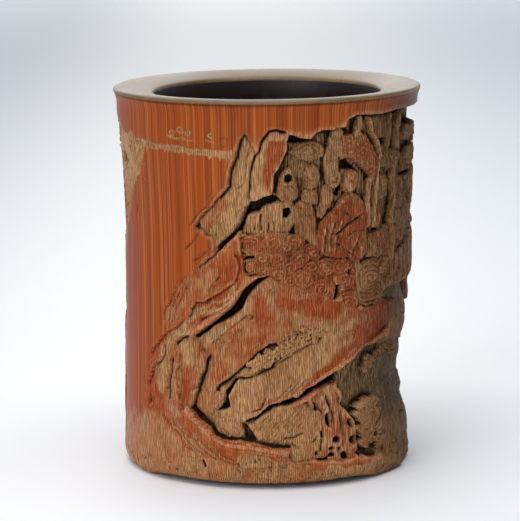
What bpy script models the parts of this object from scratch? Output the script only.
"""Bamboo brush pot: a carved culm wall on three low feet, closed by a pegged base disc.

Units are metres and degrees, +Z is up. The origin is on the table, under the middle of the pot.
Angles go round the pot from its front (-Y) towards +X.
"""

import math

import bmesh
import bpy
from mathutils import Vector

MM = 0.001

# Driving dimensions
HEIGHT = 155 * MM
RIM_RADIUS = 62.5 * MM
WAIST_RADIUS = 59.8 * MM
WAIST_HEIGHT = 80 * MM
FOOT_SWELL = 1.7 * MM
SHOULDER_SWELL = 1.5 * MM
BORE_RADIUS = 46.2 * MM
LEDGE_RADIUS = 42.5 * MM
REBATE_RADIUS = 49.5 * MM
REBATE_TOP = 9 * MM
LEDGE_TOP = 15 * MM
FOOT_INSET = 4.2 * MM
ARCH_HEIGHT = 1.8 * MM
FLOOR_HEIGHT = 12.5 * MM
DISC_UNDERSIDE = 2.5 * MM
GAP = 0.3 * MM
PEG_RADIUS = 1.6 * MM
PEG_TOP = 13 * MM
PEG_CIRCLE = 45.9 * MM
PEG_COUNT = 4

# How finely the wall is divided
COLUMNS = 84
OUTER_ROWS = 35
END_CROWDING = 0.07
PEG_SIDES = 20
DISC_SIDES = 84

# Where each foot starts and ends round the pot, in degrees
FEET = ((45, 81), (156.5, 192.5), (268, 304))

# Heights at which the outside of the wall changes its curve
CORNER_HEIGHT = 7 * MM
SHOULDER_START = 95 * MM
FLARE_START = 148 * MM
WALL_TOP = 153.2 * MM

# The left edge of the landscape, as (angle, height in mm), and the angle at which it ends round the back
CARVED_EDGE = ((-12, 143), (-15, 125), (-27, 110), (-39, 90), (-47, 66), (-56, 42), (-54, 18), (-44, 2))
CARVED_END = 276
SHALLOWEST_CARVING = 1.6

# The main hollows of the landscape: depth mm, width mm, route
GULLIES = (
    (3.6, 9, ((-40, 54), (-27, 64), (-14, 76), (-2, 87))),
    (4.2, 11, ((-15, 101), (-9, 110), (2, 115), (8, 128), (11, 140))),
    (3.0, 9, ((-24, 30), (-16, 38), (-6, 48), (6, 57), (16, 62))),
    (4.6, 11, ((-10, 27), (4, 33), (16, 40), (30, 45), (46, 46), (60, 44))),
    (4.2, 12, ((46, 140), (50, 122), (46, 104), (60, 90), (70, 76))),
    (6.5, 20, ((66, 46), (84, 48), (104, 44), (130, 40))),
    (4.5, 9, ((60, 73), (78, 73), (96, 74))),
    (3.8, 26, ((66, 20), (98, 20))),
    (4.2, 13, ((120, 138), (130, 118), (128, 98), (148, 80), (172, 66))),
    (4.4, 13, ((182, 130), (192, 108), (188, 84), (204, 60), (216, 38))),
    (3.8, 12, ((234, 128), (244, 104), (240, 78), (254, 52))),
)


def arc_point(angle, radius, height):
    """The point at that angle from the front, at that radius and height."""
    turn = math.radians(angle)
    return Vector((radius * math.sin(turn), -radius * math.cos(turn), height))


def smooth_step(low, high, value):
    share = min(1, max(0, (value - low) / (high - low)))
    return share * share * (3 - 2 * share)


def plain_radius(height):
    """The outer radius of the uncarved culm: a rounded foot, a slight waist and a flared lip."""
    radius = WAIST_RADIUS + FOOT_SWELL * max(0, 1 - height / WAIST_HEIGHT) ** 2
    radius += SHOULDER_SWELL * smooth_step(SHOULDER_START, FLARE_START, height)
    drop = max(0, 1 - height / CORNER_HEIGHT)
    radius -= FOOT_INSET * (1 - math.sqrt(1 - drop * drop))
    rise = max(0, (height - FLARE_START) / (WALL_TOP - FLARE_START))
    return radius + (RIM_RADIUS - WAIST_RADIUS - SHOULDER_SWELL) * rise * rise


def along_wall(angle, height):
    """A place on the unrolled wall: millimetres round it and millimetres up."""
    return Vector((math.radians(angle) * WAIST_RADIUS / MM, height))


def distance_to_route(angle, height, route):
    """The distance in millimetres from a place on the wall to a route on it."""
    turns = round((route[0][0] - angle) / 360)
    here = along_wall(angle + 360 * turns, height)
    nearest = math.inf
    for start, end in zip(route, route[1:]):
        origin = along_wall(*start)
        run = along_wall(*end) - origin
        share = min(1, max(0, (here - origin).dot(run) / run.length_squared))
        nearest = min(nearest, (here - origin - share * run).length)
    return nearest


def edge_angle(height):
    """The angle at which the landscape begins, at a height in millimetres."""
    for (angle_a, high), (angle_b, low) in zip(CARVED_EDGE, CARVED_EDGE[1:]):
        if height >= low:
            share = min(1, max(0, (high - height) / (high - low)))
            return angle_a + (angle_b - angle_a) * share
    return CARVED_EDGE[-1][0]


def carved_depth(angle, height):
    """How far in mm the landscape lies below the culm's skin, at an angle and a height in mm."""
    start = edge_angle(height)
    from_start = (angle - start) % 360
    to_end = (CARVED_END - start) - from_start
    inside = smooth_step(0, 30, from_start) * smooth_step(0, 30, to_end)
    inside *= smooth_step(146, 138, height) * smooth_step(2, 20, height)
    depth = SHALLOWEST_CARVING * inside
    for deepest, width, route in GULLIES:
        bank = smooth_step(width, 0, distance_to_route(angle, height, route))
        depth += (deepest - depth) * bank
    return depth


def wall_profile():
    """Radius and height of the turned rings: over the lip, down the bore and under the ledge."""
    lip = (
        (RIM_RADIUS, WALL_TOP + 0.8 * MM),
        (RIM_RADIUS - 1.2 * MM, HEIGHT - 0.25 * MM),
        (RIM_RADIUS - 3.6 * MM, HEIGHT),
        (RIM_RADIUS - 9 * MM, HEIGHT - 0.8 * MM),
        (BORE_RADIUS + 1.2 * MM, HEIGHT - 2.3 * MM),
        (BORE_RADIUS, HEIGHT - 3.6 * MM),
    )
    steps = 5
    sweep = LEDGE_TOP + 9 * MM
    cove = []
    for i in range(steps + 1):
        turn = math.pi / 2 * i / steps
        radius = BORE_RADIUS - (BORE_RADIUS - LEDGE_RADIUS) * (1 - math.cos(turn))
        cove.append((radius, sweep - (sweep - LEDGE_TOP) * math.sin(turn)))
    middle = (BORE_RADIUS, (HEIGHT + sweep) / 2)
    under = ((LEDGE_RADIUS, REBATE_TOP), (REBATE_RADIUS, REBATE_TOP), (REBATE_RADIUS, 0))
    return (*lip, middle, *cove, *under)


def ring_of(mesh, radii, heights):
    """A closed ring of vertices, one for each column."""
    ring = []
    for column in range(COLUMNS):
        angle = 360 * column / COLUMNS
        ring.append(mesh.verts.new(arc_point(angle, radii[column], heights[column])))
    return ring


def join_rings(mesh, first, second):
    for i in range(COLUMNS):
        j = (i + 1) % COLUMNS
        mesh.faces.new((first[i], first[j], second[j], second[i]))


def new_object(name, mesh, material):
    """A named object from a bmesh, shaded smooth with crisp edges."""
    bmesh.ops.recalc_face_normals(mesh, faces=mesh.faces)
    data = bpy.data.meshes.new(name)
    mesh.to_mesh(data)
    mesh.free()
    data.shade_smooth()
    data.set_sharp_from_angle(angle=math.radians(40))
    data.materials.append(material)
    made = bpy.data.objects.new(name, data)
    bpy.context.scene.collection.objects.link(made)
    return made


def new_material(name, colour, roughness):
    made = bpy.data.materials.new(name)
    made.use_nodes = True
    shader = made.node_tree.nodes["Principled BSDF"]
    shader.inputs["Base Color"].default_value = (*colour, 1)
    shader.inputs["Roughness"].default_value = roughness
    shader.inputs["Metallic"].default_value = 0
    return made


def cut(body, cutter):
    """Takes the cutter out of the body, and leaves the cutter as a wire helper."""
    cutter.hide_render = True
    cutter.display_type = "WIRE"
    difference = body.modifiers.new("cut_" + cutter.name, "BOOLEAN")
    difference.operation = "DIFFERENCE"
    difference.object = cutter


def cylinder(name, radius, low, high, sides, material, at=(0, 0)):
    mesh = bmesh.new()
    bmesh.ops.create_cone(
        mesh, cap_ends=True, segments=sides, radius1=radius, radius2=radius, depth=high - low
    )
    bmesh.ops.translate(mesh, verts=mesh.verts, vec=(*at, (low + high) / 2))
    return new_object(name, mesh, material)


def peg_places():
    """The centre of each peg, on a circle half-way across the ledge."""
    for i in range(PEG_COUNT):
        place = arc_point(45 + 360 * i / PEG_COUNT, PEG_CIRCLE, 0)
        yield i + 1, (place.x, place.y)


def arch_cutter(name, start, end, material):
    """A curved block that lifts the wall off the table between two feet, with slightly leaning ends."""
    mesh = bmesh.new()
    lean = 1.2
    steps = max(2, round((end - start) / 5))
    inner, outer = REBATE_RADIUS - 2 * MM, WAIST_RADIUS + FOOT_SWELL + MM
    sections = []
    for i in range(steps + 1):
        share = i / steps
        low = start + (end - start) * share
        high = start + lean + (end - start - 2 * lean) * share
        feet = ((low, inner, -MM), (low, outer, -MM))
        crown = ((high, outer, ARCH_HEIGHT), (high, inner, ARCH_HEIGHT))
        sections.append([mesh.verts.new(arc_point(*corner)) for corner in feet + crown])
    for a, b in zip(sections, sections[1:]):
        for i in range(4):
            j = (i + 1) % 4
            mesh.faces.new((a[i], a[j], b[j], b[i]))
    mesh.faces.new(sections[0])
    mesh.faces.new(sections[-1])
    return new_object(name, mesh, material)


def build_culm_wall(material):
    """The carved tube of bamboo, with its feet, its polished lip and the ledge over the base disc."""
    mesh = bmesh.new()
    rings = []
    for row in range(OUTER_ROWS):
        share = row / (OUTER_ROWS - 1)
        height = WALL_TOP * (share - END_CROWDING * math.sin(math.tau * share))
        radii = []
        for column in range(COLUMNS):
            angle = 360 * column / COLUMNS
            radii.append(plain_radius(height) - carved_depth(angle, height / MM) * MM)
        rings.append(ring_of(mesh, radii, [height] * COLUMNS))
    for radius, height in wall_profile():
        rings.append(ring_of(mesh, [radius] * COLUMNS, [height] * COLUMNS))
    for first, second in zip(rings, rings[1:]):
        join_rings(mesh, first, second)
    join_rings(mesh, rings[-1], rings[0])
    wall = new_object("culm_wall", mesh, material)
    for i, foot in enumerate(FEET):
        following = FEET[(i + 1) % len(FEET)][0]
        end = following if following > foot[1] else following + 360
        cut(wall, arch_cutter(f"arch_cutter_{i + 1}", foot[1], end, material))
    for number, place in peg_places():
        name = f"ledge_socket_cutter_{number}"
        radius = PEG_RADIUS + GAP
        cut(wall, cylinder(name, radius, REBATE_TOP - MM, PEG_TOP + GAP, PEG_SIDES, material, place))
    return wall


def build_base_disc(material):
    """The inset floor: a flange under the wall's ledge and a plateau that fills the ring inside it."""
    mesh = bmesh.new()
    flange = REBATE_RADIUS - GAP
    plateau = LEDGE_RADIUS - GAP
    shoulder = REBATE_TOP - GAP
    dish = 0.8 * MM
    profile = (
        (0, DISC_UNDERSIDE + dish),
        (plateau - 6 * MM, DISC_UNDERSIDE + dish),
        (plateau - 4.5 * MM, DISC_UNDERSIDE),
        (flange - 0.6 * MM, DISC_UNDERSIDE),
        (flange, DISC_UNDERSIDE + 0.6 * MM),
        (flange, shoulder),
        (plateau, shoulder),
        (plateau, FLOOR_HEIGHT - 0.5 * MM),
        (plateau - 0.5 * MM, FLOOR_HEIGHT),
        (0, FLOOR_HEIGHT),
    )
    line = [mesh.verts.new((radius, 0, height)) for radius, height in profile]
    edges = [mesh.edges.new(pair) for pair in zip(line, line[1:])]
    bmesh.ops.spin(
        mesh, geom=line + edges, cent=(0, 0, 0), axis=(0, 0, 1), steps=DISC_SIDES, angle=math.tau
    )
    bmesh.ops.remove_doubles(mesh, verts=mesh.verts, dist=0.001 * MM)
    disc = new_object("base_disc", mesh, material)
    for number, place in peg_places():
        name = f"disc_hole_cutter_{number}"
        radius = PEG_RADIUS + GAP
        cut(disc, cylinder(name, radius, 0, REBATE_TOP + MM, PEG_SIDES, material, place))
    return disc


def build_base_peg(number, place, material):
    """A bamboo peg driven up through the disc's flange into the ledge, with a rounded tip."""
    mesh = bmesh.new()
    tip = 0.8 * MM
    levels = (
        (PEG_RADIUS - 0.2 * MM, DISC_UNDERSIDE),
        (PEG_RADIUS, DISC_UNDERSIDE + 0.3 * MM),
        (PEG_RADIUS, PEG_TOP - tip),
        (PEG_RADIUS * 0.6, PEG_TOP),
    )
    rings = []
    for radius, height in levels:
        ring = []
        for i in range(PEG_SIDES):
            turn = math.tau * i / PEG_SIDES
            spot = (place[0] + radius * math.cos(turn), place[1] + radius * math.sin(turn), height)
            ring.append(mesh.verts.new(spot))
        rings.append(ring)
    for first, second in zip(rings, rings[1:]):
        for i in range(PEG_SIDES):
            j = (i + 1) % PEG_SIDES
            mesh.faces.new((first[i], first[j], second[j], second[i]))
    mesh.faces.new(rings[0])
    mesh.faces.new(rings[-1])
    return new_object(f"base_peg_{number}", mesh, material)


def main():
    for old in list(bpy.data.objects):
        bpy.data.objects.remove(old)
    carved_bamboo = new_material("carved_bamboo", (0.36, 0.13, 0.045), 0.42)
    base_wood = new_material("base_wood", (0.13, 0.05, 0.03), 0.5)
    peg_bamboo = new_material("peg_bamboo", (0.52, 0.33, 0.16), 0.6)
    build_culm_wall(carved_bamboo)
    build_base_disc(base_wood)
    for number, place in peg_places():
        build_base_peg(number, place, peg_bamboo)


main()
